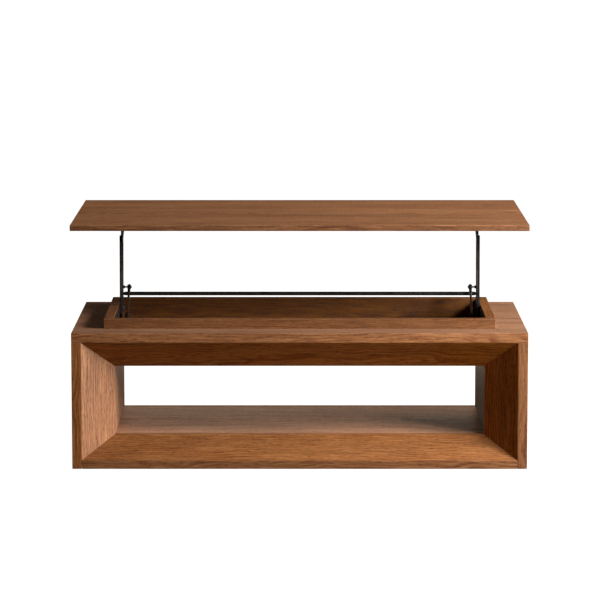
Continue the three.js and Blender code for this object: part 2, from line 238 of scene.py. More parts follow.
def stained_oak(name, light, middle, dark, roughness):
    """Open-pored oak in three tones of stain, under satin lacquer."""
    material, tree, shader = shaded(name)
    place = add(tree, "Attribute", attribute_name="grain", out="Vector")
    split = add(tree, "SeparateXYZ", {"Vector": place}).node
    bent = {}
    for axis, seed in (("Y", 3.1), ("Z", 8.4)):
        bend = across(tree, place, BEND_LENGTH, BEND_WIDTH, 2.0, seed)
        bent[axis] = add(tree, "Math", {0: bend, 1: BEND, 2: split.outputs[axis]},
                         operation="MULTIPLY_ADD")
    flat = add(tree, "CombineXYZ", bent)
    radius = add(tree, "VectorMath", {0: flat}, operation="LENGTH", out="Value")
    rings = add(tree, "Math", {0: radius, 1: 1 / RING}, operation="MULTIPLY")
    ring_place = add(tree, "Math", {0: rings}, operation="FRACT")
    early = add(tree, "ValToRGB", {"Fac": ring_place},
                stops=[(0, 0.9), (1, 0.85), (0.2, 0.8), (0.5, 0.1), (0.8, 0.0)])
    fibres = across(tree, place, FIBRE_LENGTH, FIBRE_WIDTH, 7.0, 1.3)
    leaf = across(tree, place, LEAF_LENGTH, LEAF_WIDTH, 2.0, 5.9)
    clear_rings = across(tree, place, CLEAR_LENGTH, CLEAR_WIDTH, 1.0, 9.2)
    pores = across(tree, place, PORE_LENGTH, PORE_WIDTH, 1.0, 2.2)
    pore_spots = add(tree, "ValToRGB", {"Fac": pores}, stops=[(0.53, 0.0), (0.62, 1.0)])
    pore_rows = add(tree, "Math", {0: early, 1: 0.6, 2: 0.4}, operation="MULTIPLY_ADD")
    pore = add(tree, "Math", {0: pore_spots, 1: pore_rows}, operation="MULTIPLY")

    tone = add(tree, "ValToRGB", {"Fac": fibres},
               stops=[(0.3, colour(dark)), (0.7, colour(light)), (0.5, colour(middle))])
    ring_depth = add(tree, "ValToRGB", {"Fac": clear_rings}, stops=[(0.38, 0.12), (0.62, 0.75)])
    ring_share = add(tree, "Math", {0: early, 1: ring_depth}, operation="MULTIPLY")
    ringed = add(tree, "Mix", {"Factor": ring_share, 6: tone, 7: colour(EARLY_WOOD)}, out=2,
                 data_type="RGBA", blend_type="MULTIPLY")
    pore_share = add(tree, "Math", {0: pore, 1: 0.7}, operation="MULTIPLY")
    pored = add(tree, "Mix", {"Factor": pore_share, 6: ringed, 7: colour(FILLED_PORE)}, out=2,
                data_type="RGBA", blend_type="MULTIPLY")
    leaf_tone = add(tree, "ValToRGB", {"Fac": leaf}, stops=[(0.3, 0.84), (0.7, 1.16)])
    # How light and how rich each board is drawn, read from its attribute: the stain's spread from
    # leaf to leaf, with painted light and shade added
    stain = add(tree, "Attribute", attribute_name="stain", out="Vector")
    share = add(tree, "SeparateXYZ", {"Vector": stain}).node
    brightness = add(tree, "Math", {0: leaf_tone, 1: share.outputs["X"]}, operation="MULTIPLY")
    veneer = add(tree, "HueSaturation",
                 {"Color": pored, "Value": brightness, "Saturation": share.outputs["Y"]})
    edge = add(tree, "Attribute", attribute_name="edge", out="Fac")
    rub = across(tree, place, RUB_LENGTH, RUB_WIDTH, 2.0, 7.7)
    rub_share = add(tree, "Math", {0: edge, 1: rub}, operation="MULTIPLY")
    rubbed = add(tree, "Mix", {"Factor": rub_share, 6: veneer, 7: colour(RUBBED_EDGE)}, out=2,
                 data_type="RGBA", blend_type="SCREEN")
    tree.links.new(rubbed, shader.inputs["Base Color"])

    gloss = add(tree, "Math", {0: pore, 1: 0.2, 2: roughness}, operation="MULTIPLY_ADD")
    uneven = add(tree, "Math", {0: leaf, 1: 0.1, 2: gloss}, operation="MULTIPLY_ADD")
    tree.links.new(uneven, shader.inputs["Roughness"])
    relief = add(tree, "Math", {0: early, 1: 0.3, 2: pore}, operation="MULTIPLY_ADD")
    bump = add(tree, "Bump", {"Strength": 0.35, "Distance": 0.15 * MM, "Height": relief},
               invert=True)
    tree.links.new(bump, shader.inputs["Normal"])
    shader.inputs["IOR"].default_value = 1.5
    return material


OAK = stained_oak("stained_oak_veneer", "#be875a", "#a26e44", "#8a5936", 0.42)
print("stained oak has", len(OAK.node_tree.nodes), "nodes")

# %% [markdown]
# ## Steel, felt and rubber
# The arms, brackets and bar are steel with a black powder coat: a thin plastic skin with a
# faint orange-peel texture, which is satin rather than shiny, and rubbed at its edges. The
# pins are zinc plated, so they are a soft grey with fine turning marks. The struts' rods are
# ground and hard chromed, and their cylinders are painted a smooth gloss black. The glides
# are pressed felt, and the bumpers are a clear soft rubber that lets the oak show through.

# %% Steel and trim materials
PEEL = 1.6 * MM  # size of the powder coat's bumps
DUST_PATCH = 1 / 45  # metres, so patches of dust about 22 mm across
CLOUD = 1 / 120  # metres, so patches of duller plating about 8 mm across
TURNING = 0.5 * MM  # from one mark of the lathe to the next, drawn coarser than the real 0.1 mm
FELT_FIBRE = 0.8 * MM


def powder_coated(name, base, roughness):
    """Black powder coat on steel, with dust and rubbed patches."""
    material, tree, shader = shaded(name)
    place = add(tree, "TexCoord", out="Object")
    peel = add(tree, "TexNoise", {"Vector": place, "Scale": 1 / PEEL, "Detail": 2.0})
    dust = add(tree, "TexNoise", {"Vector": place, "Scale": 1 / DUST_PATCH, "Detail": 3.0})
    tint = add(tree, "ValToRGB", {"Fac": dust},
               stops=[(0.35, colour(base)), (0.75, colour("#1e1d1d"))])
    edge = add(tree, "Attribute", attribute_name="edge", out="Fac")
    share = add(tree, "Math", {0: edge, 1: dust}, operation="MULTIPLY")
    rubbed = add(tree, "Mix", {"Factor": share, 6: tint, 7: colour("#383634")}, out=2,
                 data_type="RGBA")
    tree.links.new(rubbed, shader.inputs["Base Color"])
    satin = add(tree, "Math", {0: dust, 1: 0.2, 2: roughness}, operation="MULTIPLY_ADD")
    tree.links.new(satin, shader.inputs["Roughness"])
    bump = add(tree, "Bump", {"Strength": 0.25, "Distance": 0.05 * MM, "Height": peel})
    tree.links.new(bump, shader.inputs["Normal"])
    shader.inputs["Specular IOR Level"].default_value = 0.35
    return material


def bright_metal(name, light, dark, roughness, marks):
    """Metal with fine turning marks and a little unevenness in its shine."""
    material, tree, shader = shaded(name)
    place = add(tree, "TexCoord", out="Object")
    cloud = add(tree, "TexNoise", {"Vector": place, "Scale": 1 / CLOUD, "Detail": 3.0})
    tint = add(tree, "ValToRGB", {"Fac": cloud},
               stops=[(0.3, colour(dark)), (0.7, colour(light))])
    tree.links.new(tint, shader.inputs["Base Color"])
    shine = add(tree, "Math", {0: cloud, 1: 0.12, 2: roughness}, operation="MULTIPLY_ADD")
    tree.links.new(shine, shader.inputs["Roughness"])
    lathe = add(tree, "TexNoise", {"Vector": place, "Scale": 1 / TURNING, "Detail": 1.0})
    bump = add(tree, "Bump", {"Strength": marks, "Distance": 0.02 * MM, "Height": lathe})
    tree.links.new(bump, shader.inputs["Normal"])
    shader.inputs["Metallic"].default_value = 1.0
    return material


def soft_trim(name, light, dark, roughness, size, depth):
    """Felt or rubber: two tones of a fine grain with its own relief."""
    material, tree, shader = shaded(name)
    place = add(tree, "TexCoord", out="Object")
    grain = add(tree, "TexNoise", {"Vector": place, "Scale": 1 / size, "Detail": 4.0})
    tint = add(tree, "ValToRGB", {"Fac": grain},
               stops=[(0.3, colour(dark)), (0.7, colour(light))])
    tree.links.new(tint, shader.inputs["Base Color"])
    matt = add(tree, "Math", {0: grain, 1: 0.1, 2: roughness}, operation="MULTIPLY_ADD")
    tree.links.new(matt, shader.inputs["Roughness"])
    bump = add(tree, "Bump", {"Strength": 0.5, "Distance": depth, "Height": grain})
    tree.links.new(bump, shader.inputs["Normal"])
    return material


BLACK_STEEL = powder_coated("powder_coated_steel", "#0d0d0d", 0.36)
STRUT_BLACK = powder_coated("gloss_painted_steel", "#101010", 0.2)
ZINC = bright_metal("zinc_plated_steel", "#b9bbbe", "#8d8f93", 0.3, 0.3)
CHROME = bright_metal("hard_chromed_steel", "#d9dadc", "#c0c2c6", 0.14, 0.08)
FELT = soft_trim("pressed_felt", "#4a4038", "#2b2420", 0.9, FELT_FIBRE, 0.3 * MM)
RUBBER = soft_trim("clear_moulded_rubber", "#a08a76", "#8c7563", 0.5, 2 * MM, 0.02 * MM)
RUBBER.node_tree.nodes["Principled BSDF"].inputs["Transmission Weight"].default_value = 0.8
MATERIAL_OF = {
    "veneer": OAK, "compartment": OAK, "black_steel": BLACK_STEEL, "plated_steel": ZINC,
    "strut_rod": CHROME, "strut_paint": STRUT_BLACK, "felt": FELT, "bumper": RUBBER,
}
SLOT_OF = {row["node"]: row["material_slot"] for row in frame["record"]["subparts"]}
print("materials:", sorted(m.name for m in MATERIAL_OF.values()))

# %% [markdown]
# ## How a board is made
# A sawn board has sharp arrises, and a finished one doesn't: they are eased with fine paper
# so that the lacquer holds on them, and it is this thin rounding that catches the light.
# Each board starts as a cube at its place in the frame, and a bevel modifier eases it. Then
# each corner of each face is told where it lay in the log. Narrow faces across the grain
# are turned, because a veneered board has a strip of long grain glued along its ends.

# %% Helpers for modelling
def only(piece):
    """Selects this piece and nothing else."""
    bpy.ops.object.select_all(action="DESELECT")
    piece.select_set(True)
    bpy.context.view_layer.objects.active = piece


def block(name, low, high):
    """A cube primitive stretched between two corners."""
    low, high = Vector(low), Vector(high)
    bpy.ops.object.select_all(action="DESELECT")
    bpy.ops.mesh.primitive_cube_add(size=1, location=(low + high) / 2, scale=high - low)
    piece = bpy.context.object
    piece.name = name
    bpy.ops.object.transform_apply(location=True, rotation=True, scale=True)
    return piece


def pick(piece, kind, test):
    """Selects faces, or edges, in edit mode by their middle and their direction."""
    bpy.ops.mesh.select_mode(type=kind)
    bpy.ops.mesh.select_all(action="DESELECT")
    mesh = bmesh.from_edit_mesh(piece.data)
    found = 0
    for item in (mesh.faces if kind == "FACE" else mesh.edges):
        middle = sum((v.co for v in item.verts), Vector()) / len(item.verts)
        way = item.normal if kind == "FACE" else (item.verts[1].co - item.verts[0].co).normalized()
        if test(middle, way):
            item.select_set(True)
            found += 1
    bmesh.update_edit_mesh(piece.data)
    return found


def eased(piece, width, segments=3, angle=30):
    """Rounds the sharp edges, marks the rounding in an attribute, and smooths the shading."""
    only(piece)
    old_faces = len(piece.data.polygons)
    bevel = piece.modifiers.new("eased_edges", "BEVEL")
    bevel.width = width
    bevel.segments = segments
    bevel.limit_method = "ANGLE"
    bevel.angle_limit = math.radians(angle)
    bevel.material = -1
    bpy.ops.object.modifier_apply(modifier=bevel.name)
    bpy.ops.object.shade_smooth_by_angle(angle=math.radians(45))
    flat = piece.modifiers.new("flat_faces", "WEIGHTED_NORMAL")
    flat.keep_sharp = True
    bpy.ops.object.modifier_apply(modifier=flat.name)
    areas = sorted(p.area for p in piece.data.polygons)
    limit = areas[-min(old_faces, len(areas))]
    edge = piece.data.attributes.new("edge", "FLOAT", "CORNER")
    for face in piece.data.polygons:
        for corner in face.loop_indices:
            edge.data[corner].value = 0.0 if face.area >= limit else 1.0
    return piece


def made(piece, node=None, slot=None, body=None):
    """Gives the piece its material and its body, and hides the frame's node that it stands for."""
    body = body or BODY_OF[node]
    slot = slot or SLOT_OF[node]
    piece.data.materials.clear()
    piece.data.materials.append(MATERIAL_OF[slot])
    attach(piece, body)
    if node:
        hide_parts(node)
    return piece


X, Y, Z = 0, 1, 2
NEARLY = 0.9  # a direction whose share along an axis is more than this counts as along it
LIPPING = 0.4  # metres in the log from a board's faces to the strip on its end
PLAIN_STAIN_AND_LIGHT = (1.0, 1.0)  # how light and how rich: the stain as it is, with no painted light or shade


def lay_grain(piece, along, thick, flat_sawn=0.5, stain=PLAIN_STAIN_AND_LIGHT, lip_stain_and_painted_light=None):
    """Writes each corner's place in the log, and how light and rich the board is drawn: its stain
    with painted light and shade.

    Flat-sawn boards show arches, and the others straight lines. The strips on a board's edges may
    have their own stain and painted light and shade.
    """
    side = X + Y + Z - along - thick  # the axis that is left
    chance = random.Random(piece.name)
    low = [min(v.co[i] for v in piece.data.vertices) for i in range(3)]
    high = [max(v.co[i] for v in piece.data.vertices) for i in range(3)]
    middle = [(a + b) / 2 for a, b in zip(low, high)]
    start = chance.uniform(-20, 20)  # metres along the log
    # per face: how light and how rich the board is drawn, its stain with painted light and shade
    # added
    tone = piece.data.attributes.new("stain", "FLOAT_VECTOR", "FACE")
    for face in piece.data.polygons:
        on_lip = lip_stain_and_painted_light is not None and abs(face.normal[thick]) < 0.5
        tone.data[face.index].vector = (*(lip_stain_and_painted_light if on_lip else stain), 0)
    if chance.random() < flat_sawn:
        depth, shift = chance.uniform(0.05, 0.09), chance.uniform(-0.05, 0.05)
    else:
        depth, shift = chance.uniform(0.1, 0.2), chance.choice((-1, 1)) * chance.uniform(0.5, 0.8)
    grain = piece.data.attributes.new("grain", "FLOAT_VECTOR", "CORNER")
    for face in piece.data.polygons:
        turned = abs(face.normal[along]) > NEARLY
        for corner in face.loop_indices:
            co = piece.data.vertices[piece.data.loops[corner].vertex_index].co
            u, v, w = co[along] - middle[along], co[side] - middle[side], co[thick] - middle[thick]
            if turned:
                u, v = v + LIPPING, u
            grain.data[corner].vector = (start + u, shift + v, depth + w)
    return piece


print("helpers for modelling are ready")

# %% [markdown]
# ## The cabinet's boards
# Most boards of the cabinet are plain panels, so one list gives each its grain direction
# and its thickness direction. The grain runs along the table on level boards and up the
# ends. The top is one panel with a window for the compartment: its two broad faces are
# inset by the same margin, and the two inner faces are bridged into an opening.

# %% Flat boards
EASE = 1.2 * MM

FLAT_BOARDS = {
    "bottom_panel": (X, Z), "tunnel_floor": (X, Z), "compartment_floor": (X, Z),
    "left_side_panel": (Z, X), "right_side_panel": (Z, X),
    "left_tunnel_wall": (Z, X), "right_tunnel_wall": (Z, X),
    "compartment_wall_front": (X, Y), "compartment_wall_back": (X, Y),
    "compartment_wall_left": (Y, X), "compartment_wall_right": (Y, X),
}
# These values paint light and shade into the boards as well as the stain. The compartment's back
# wall is drawn darker and richer as painted shade where the lid's shadow falls. The tunnel's floor
# and left wall are drawn lighter and greyer as painted light and sheen. The other values lighten
# some boards and darken others, partly for the stain's spread from leaf to leaf and partly as
# painted light and shade.
STAIN_AND_PAINTED_LIGHT = {  # how light and how rich each board is drawn: stain, with painted light and shade
    "tunnel_floor": (1.5, 0.84), "bottom_panel": (0.87, 1.0), "compartment_floor": (0.6, 1.0),
    "left_side_panel": (1.12, 1.05), "right_side_panel": (0.75, 1.0),
    "left_tunnel_wall": (1.4, 0.85), "right_tunnel_wall": (0.4, 1.0),
    "compartment_wall_front": (0.52, 1.04), "compartment_wall_back": (0.28, 1.35),
    "compartment_wall_left": (0.5, 1.1), "compartment_wall_right": (0.5, 1.1),
    "top_panel": (0.84, 0.86), "top_panel_lipping": (1.08, 1.0),
    "lid": (0.76, 0.95), "lid_lipping": (0.58, 1.0),
    "front_bevel_top": (1.06, 1.14), "front_bevel_bottom": (0.88, 1.05),
    "front_bevel_left": (1.12, 0.95), "front_bevel_right": (1.35, 1.14),
}
for node, (along, thick) in FLAT_BOARDS.items():
    board = block(node + "_board", *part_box(node))
    eased(board, EASE)
    made(lay_grain(board, along, thick, stain=STAIN_AND_PAINTED_LIGHT.get(node, PLAIN_STAIN_AND_LIGHT)), node)
print(len(FLAT_BOARDS), "flat boards")

# %% The top with its window
WINDOW_GAP = 0.3 * MM  # round the compartment's walls
MIDDLE = 10 * MM  # a face whose middle is nearer the table's than this lies in the window

top_low, top_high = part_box("top_panel")
_, wall_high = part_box("compartment_wall_front")

top = block("top_panel_board", top_low, top_high)
bpy.ops.object.mode_set(mode="EDIT")
pick(top, "FACE", lambda middle, way: abs(way.z) > NEARLY)
bpy.ops.mesh.inset(thickness=top_high.x - wall_high.x - WINDOW_GAP)
pick(top, "FACE", lambda middle, way: abs(way.z) > NEARLY and middle.xy.length < MIDDLE)
bpy.ops.mesh.bridge_edge_loops()
bpy.ops.mesh.select_all(action="SELECT")
bpy.ops.mesh.normals_make_consistent(inside=False)
bpy.ops.object.mode_set(mode="OBJECT")
eased(top, EASE)
lay_grain(top, X, Z, stain=STAIN_AND_PAINTED_LIGHT["top_panel"], lip_stain_and_painted_light=STAIN_AND_PAINTED_LIGHT["top_panel_lipping"])
made(top, "top_panel")
print("the top has", len(top.data.polygons), "faces")

# %% [markdown]
# ## The sloping frames
# Four boards funnel into each mouth of the tunnel and meet in mitres. Each is a plain board
# first. Its inner edge is then pushed into the tunnel, which tilts it, and shortened at
# both ends, which cuts the mitres.

# %% Sloping boards
SLOPE_BOARD = 18 * MM  # the board's thickness, measured along the table's depth
SLOPE_EASE = 0.7 * EASE
MITRE_GAP = 0.15 * MM  # between a board's inner edge and the tunnel's faces

tunnel_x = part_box("right_tunnel_wall")[0].x - MITRE_GAP
level_ends = (X, -tunnel_x, tunnel_x)
upright_ends = (Z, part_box("tunnel_floor")[1].z + MITRE_GAP,
                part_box("compartment_floor")[0].z - MITRE_GAP)


def sloping_board(node, way, into, mitred):
    """A board that slopes into a mouth of the tunnel.

    way is -1 at the front, into points to the board's inner edge, and mitred gives the
    direction of that edge with its two ends.
    """
    low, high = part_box(node)
    depth = high.y - low.y - SLOPE_BOARD
    if way < 0:
        high.y = low.y + SLOPE_BOARD
    else:
        low.y = high.y - SLOPE_BOARD
    board = block(node + "_board", low, high)
    bpy.ops.object.mode_set(mode="EDIT")
    pick(board, "FACE", lambda middle, normal: normal.dot(into) > NEARLY)
    axis, start, end = mitred
    shift = Vector((0, -way * depth, 0))
    shift[axis] = (start + end - low[axis] - high[axis]) / 2
    shrink = [1.0, 1.0, 1.0]
    shrink[axis] = (end - start) / (high[axis] - low[axis])
    bpy.ops.transform.resize(value=shrink, center_override=(low + high) / 2)
    bpy.ops.transform.translate(value=shift)
    bpy.ops.mesh.select_all(action="SELECT")
    bpy.ops.mesh.normals_make_consistent(inside=False)
    bpy.ops.object.mode_set(mode="OBJECT")
    return eased(board, SLOPE_EASE)


for name, way in (("front", -1), ("back", 1)):
    for place, into, mitred, along in (
        ("top", Vector((0, 0, -1)), level_ends, X),
        ("bottom", Vector((0, 0, 1)), level_ends, X),
        ("left", Vector((1, 0, 0)), upright_ends, Z),
        ("right", Vector((-1, 0, 0)), upright_ends, Z),
    ):
        node = name + "_bevel_" + place
        board = sloping_board(node, way, into, mitred)
        thick = Z if along == X else X
        made(lay_grain(board, along, thick, stain=STAIN_AND_PAINTED_LIGHT.get(node, PLAIN_STAIN_AND_LIGHT)), node)
print("8 sloping boards; tunnel half width", round(tunnel_x, 4))

# %% [markdown]
# ## The lid
# The lid is one flat board, veneered on both faces and lipped all round. It is thinner than
# the cabinet's boards, and its edges are rounded a little more, because hands meet them.

# %% Lid
LID_EASE = 1.8 * MM

lid = block("lid_board", *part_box("lid"))
eased(lid, LID_EASE, segments=4)
lay_grain(lid, X, Z, flat_sawn=1.0, stain=STAIN_AND_PAINTED_LIGHT["lid"], lip_stain_and_painted_light=STAIN_AND_PAINTED_LIGHT["lid_lipping"])
made(lid, "lid")

# %% [markdown]
# ## Turned parts
# Pins, studs, screws, rods, felt glides and rubber bumpers are all round. Each starts as a
# filled circle, and is drawn up ring by ring: extrude to the next height, then scale to the
# next radius, which is what a lathe's tool path says.

# %% Helpers for round parts
def turned_part(name, rings, sides=32):
    """A round solid up Z from pairs of radius and height."""
    bpy.ops.object.select_all(action="DESELECT")
    radius, height = rings[0]
    bpy.ops.mesh.primitive_circle_add(
        vertices=sides, radius=radius, fill_type="NGON", location=(0, 0, height))
    piece = bpy.context.object
    piece.name = name
    bpy.ops.object.transform_apply(location=True, rotation=True, scale=True)
    bpy.ops.object.mode_set(mode="EDIT")
    bpy.ops.mesh.select_all(action="SELECT")
    for next_radius, next_height in rings[1:]:
        bpy.ops.mesh.extrude_region_move(
            TRANSFORM_OT_translate={"value": (0, 0, next_height - height)})
        scale = next_radius / radius
        bpy.ops.transform.resize(value=(scale, scale, 1), center_override=(0, 0, next_height))
        radius, height = next_radius, next_height
    bpy.ops.mesh.select_all(action="SELECT")
    bpy.ops.mesh.normals_make_consistent(inside=False)
    bpy.ops.object.mode_set(mode="OBJECT")
    return piece


def stood(piece, at, towards):
    """Turns the piece's Z towards a direction and moves it, all in its mesh."""
    only(piece)
    piece.rotation_mode = "QUATERNION"
    piece.rotation_quaternion = Vector(towards).to_track_quat("Z", "Y")
    piece.location = at
    bpy.ops.object.transform_apply(location=True, rotation=True, scale=True)
    return piece


def copied(piece, name, shift=(0, 0, 0)):
    """The same piece again, with its own mesh."""
    other = piece.copy()
    other.data = piece.data.copy()
    other.name = other.data.name = name
    other.data.transform(Matrix.Translation(shift))
    bpy.context.scene.collection.objects.link(other)
    return other


def centre(node):
    """The middle of a node's box."""
    low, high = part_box(node)
    return (low + high) / 2


def inner_end(node, side):
    """The middle of the end of a pin that is nearer the middle of the table."""
    low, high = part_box(node)
    return Vector((low.x if side > 0 else high.x, centre(node).y, centre(node).z))


print("helpers for round parts are ready")

# %% Glides and bumpers
glide_low, glide_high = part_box("glide_middle")
GLIDE_RADIUS = (glide_high.x - glide_low.x) / 2
GLIDE_HEIGHT = glide_high.z - glide_low.z
glide = turned_part("glide_middle_felt", [
    (0.93 * GLIDE_RADIUS, 0), (GLIDE_RADIUS, 0.2 * GLIDE_HEIGHT),
    (GLIDE_RADIUS, 0.85 * GLIDE_HEIGHT), (0.95 * GLIDE_RADIUS, GLIDE_HEIGHT),
])
eased(glide, 0.2 * MM, segments=2)
for number in range(1, 5):
    node = f"glide_{number}"
    made(copied(glide, node + "_felt", centre(node) - centre("glide_middle")), node)
made(glide, "glide_middle")

bumper_low, bumper_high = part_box("bumper_1")
BUMPER_RADIUS = (bumper_high.x - bumper_low.x) / 2
BUMPER_HEIGHT = bumper_high.z - bumper_low.z
BUMPER_RIM = 0.15  # share of its height that is straight, below the dome
DOME_ANGLES = (0, 0.3, 0.6, 0.9, 1.15, 1.35)  # radians up from the rim
dome = [(BUMPER_RADIUS * math.cos(angle),
         BUMPER_HEIGHT * (BUMPER_RIM + (1 - BUMPER_RIM) * math.sin(angle)))
        for angle in DOME_ANGLES]
bumper = turned_part("bumper_1_dome", [(BUMPER_RADIUS, 0)] + dome)
stood(bumper, (centre("bumper_1").x, centre("bumper_1").y, bumper_low.z), (0, 0, 1))
eased(bumper, 0.05 * MM, segments=1, angle=60)
for number in range(2, 5):
    node = f"bumper_{number}"
    made(copied(bumper, node + "_dome", centre(node) - centre("bumper_1")), node)
made(bumper, "bumper_1")
print("5 felt glides and 4 bumpers")

# %% [markdown]
# ## Arms, bar and pins
# Each arm is a flat steel bar with fully rounded ends, blanked in a press. A cube is
# stretched to the bar, its end edges are beveled until they meet in a half circle, and it
# is leaned over until its ends lie on its two pivots. All four are the same blank.

# %% Arms
ARM_EASE = 0.7 * MM
END_ROUNDING = 0.999  # share of half the width, so that two bevels stop just short of meeting

rear_foot, rear_head = centre("lower_pin_rear_right"), centre("upper_pin_rear_right")
arm_low, arm_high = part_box("rear_arm_right")
arm_line = (rear_head - rear_foot) * Vector((0, 1, 1))
arm_length = arm_line.length
arm_width = (arm_high.z - arm_low.z) - arm_line.z
arm_x = (arm_low.x + arm_high.x) / 2
half = Vector((arm_high.x - arm_low.x, arm_width, arm_length + arm_width)) / 2

arm = block("rear_arm_right_bar", -half, half)
bpy.ops.object.mode_set(mode="EDIT")
pick(arm, "EDGE", lambda middle, way: abs(way.x) > NEARLY)
bpy.ops.mesh.bevel(offset=END_ROUNDING * arm_width / 2, segments=14, affect="EDGES")
bpy.ops.object.mode_set(mode="OBJECT")
lean = math.atan2(arm_line.y, arm_line.z)
arm.rotation_euler = (-lean, 0, 0)
arm.location = rear_foot * Vector((0, 1, 1)) + arm_line / 2 + Vector((arm_x, 0, 0))
bpy.ops.object.transform_apply(location=True, rotation=True, scale=True)
eased(arm, ARM_EASE, segments=2)
front_step = (centre("lower_pin_front_right") - rear_foot) * Vector((0, 1, 1))
across_table = Vector((-2 * arm_x, 0, 0))
made(copied(arm, "front_arm_right_bar", front_step), "front_arm_right")
made(copied(arm, "front_arm_left_bar", front_step + across_table), "front_arm_left")
made(copied(arm, "rear_arm_left_bar", across_table), "rear_arm_left")
made(arm, "rear_arm_right")
print("arms", round(arm_length / MM, 1), "mm between pivots, leaning", round(math.degrees(lean), 1))

# %% Cross bar
bar_low, bar_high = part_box("cross_bar")
BAR_RADIUS = (bar_high.z - bar_low.z) / 2
BAR_LENGTH = bar_high.x - bar_low.x
NECK = 0.75 * BAR_RADIUS  # each end is turned down to a short neck
NECK_LENGTH = 2.1 * MM
bar = turned_part("cross_bar_rod", [
    (NECK, 0), (NECK, NECK_LENGTH), (BAR_RADIUS, NECK_LENGTH),
    (BAR_RADIUS, BAR_LENGTH - NECK_LENGTH), (NECK, BAR_LENGTH - NECK_LENGTH), (NECK, BAR_LENGTH),
])
stood(bar, (bar_low.x, centre("cross_bar").y, centre("cross_bar").z), (1, 0, 0))
made(eased(bar, 0.4 * MM, segments=2), "cross_bar")
print("cross bar", round(BAR_LENGTH, 4), "m long")

# %% Pivot pins
HEAD_THICK = 1.5 * MM
HEAD_DOME = ((0.35, 0), (0.7, 0.12), (0.92, 0.35), (1, 0.75), (1, 1))
SHANK_RADIUS = 4 * MM
TIP = 0.4 * MM  # chamfer at a pin's end


def pivot_pin(node, side):
    """A riveted pin: a domed head towards the middle of the table, and a shank.

    The dome is given as shares of the head's radius and of its thickness.
    """
    low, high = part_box(node)
    head = (high.z - low.z) / 2
    length = high.x - low.x
    rings = [(radius * head, depth * HEAD_THICK) for radius, depth in HEAD_DOME]
    rings += [(SHANK_RADIUS, HEAD_THICK), (SHANK_RADIUS, length - TIP),
              (SHANK_RADIUS - TIP, length)]
    pin = turned_part(node + "_rivet", rings)
    stood(pin, inner_end(node, side), (side, 0, 0))
    return made(eased(pin, 0.15 * MM, segments=2, angle=40), node)


for name, side in SIDES.items():
    for level in ("upper", "lower"):
        for place in ("rear", "front"):
            pivot_pin(f"{level}_pin_{place}_{name}", side)
print("8 pivot pins")

# %% [markdown]
# ## Brackets
# Each pair of arms turns on a folded steel bracket. The one in the compartment is a long
# plate with a foot on the floor, and the one under the lid is a tab hung from a flange. The
# plate starts as a stretched cube. A bisect marks the strip where the fold begins, the strip
# is extruded into the flange, and bevels give the bend its radius. The left one is the
# right one mirrored.

# %% Helpers for folded plates
FOLD_OUTSIDE = 2.6 * MM  # radius of the bend on its outer face
FOLD_INSIDE = 1.0 * MM
PLATE_EASE = 0.35 * MM


def near(place, other):
    """Whether two places on an axis are the same, to a hundredth of a millimetre."""
    return abs(place - other) < 0.01 * MM


def folded_plate(name, low, high, plate, flange_at, corners):
    """A plate in x, y, z from low to high, whose flange at its top or foot points to -X.

    plate is the steel's thickness; corners are pairs of a test for edges across the plate
    and a radius.
    """
    piece = block(name, (high.x - plate, low.y, low.z), high)
    strip = low.z + plate if flange_at == "foot" else high.z - plate
    bpy.ops.object.mode_set(mode="EDIT")
    bpy.ops.mesh.select_all(action="SELECT")
    bpy.ops.mesh.bisect(plane_co=(0, 0, strip), plane_no=(0, 0, 1))
    in_strip = (lambda z: z < strip) if flange_at == "foot" else (lambda z: z > strip)
    pick(piece, "FACE", lambda middle, way: way.x < -NEARLY and in_strip(middle.z))
    bpy.ops.mesh.extrude_region_move(
        TRANSFORM_OT_translate={"value": (low.x - high.x + plate, 0, 0)})
    for test, radius in corners:
        pick(piece, "EDGE", test)
        bpy.ops.mesh.bevel(offset=radius, segments=8, affect="EDGES")
    outside = low.z if flange_at == "foot" else high.z
    pick(piece, "EDGE", lambda middle, way: abs(way.y) > NEARLY
         and near(middle.x, high.x) and near(middle.z, outside))
    bpy.ops.mesh.bevel(offset=FOLD_OUTSIDE, segments=5, affect="EDGES")
    pick(piece, "EDGE", lambda middle, way: abs(way.y) > NEARLY
         and near(middle.x, high.x - plate) and near(middle.z, strip))
    bpy.ops.mesh.bevel(offset=FOLD_INSIDE, segments=3, affect="EDGES")
    bpy.ops.mesh.select_all(action="SELECT")
    bpy.ops.mesh.remove_doubles(threshold=1e-6)
    bpy.ops.mesh.normals_make_consistent(inside=False)
    bpy.ops.object.mode_set(mode="OBJECT")
    return piece


def mirrored(piece, name):
    """The piece for the other end of the table."""
    other = copied(piece, name)
    other.data.transform(Matrix.Scale(-1, 4, (1, 0, 0)))
    only(other)
    bpy.ops.object.mode_set(mode="EDIT")
    bpy.ops.mesh.select_all(action="SELECT")
    bpy.ops.mesh.normals_make_consistent(inside=False)
    bpy.ops.object.mode_set(mode="OBJECT")
    return other


print("helpers for folded plates are ready")

# %% Compartment brackets
PLATE = 2 * MM  # thickness of the steel
BRACKET_CORNER = 10 * MM
FLANGE_CORNER = 5 * MM

base_low, base_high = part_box("base_bracket_right")
bracket = folded_plate("base_bracket_right_plate", base_low, base_high, PLATE, "foot", [
    (lambda middle, way: abs(way.x) > NEARLY and near(middle.z, base_high.z), BRACKET_CORNER),
    (lambda middle, way: abs(way.z) > NEARLY and near(middle.x, base_low.x), FLANGE_CORNER),
])
left_bracket = mirrored(bracket, "base_bracket_left_plate")
made(eased(bracket, PLATE_EASE, segments=2, angle=40), "base_bracket_right")
made(eased(left_bracket, PLATE_EASE, segments=2, angle=40), "base_bracket_left")
print("compartment brackets", [round(v / MM, 1) for v in base_high - base_low], "mm")

# %% Lid brackets
TAB_MARGIN = 12 * MM  # steel left round a pin
TAB_ROUNDING = 0.98 * TAB_MARGIN
CORNER_REACH = 1.5 * TAB_MARGIN  # an edge nearer a pin than this is its corner

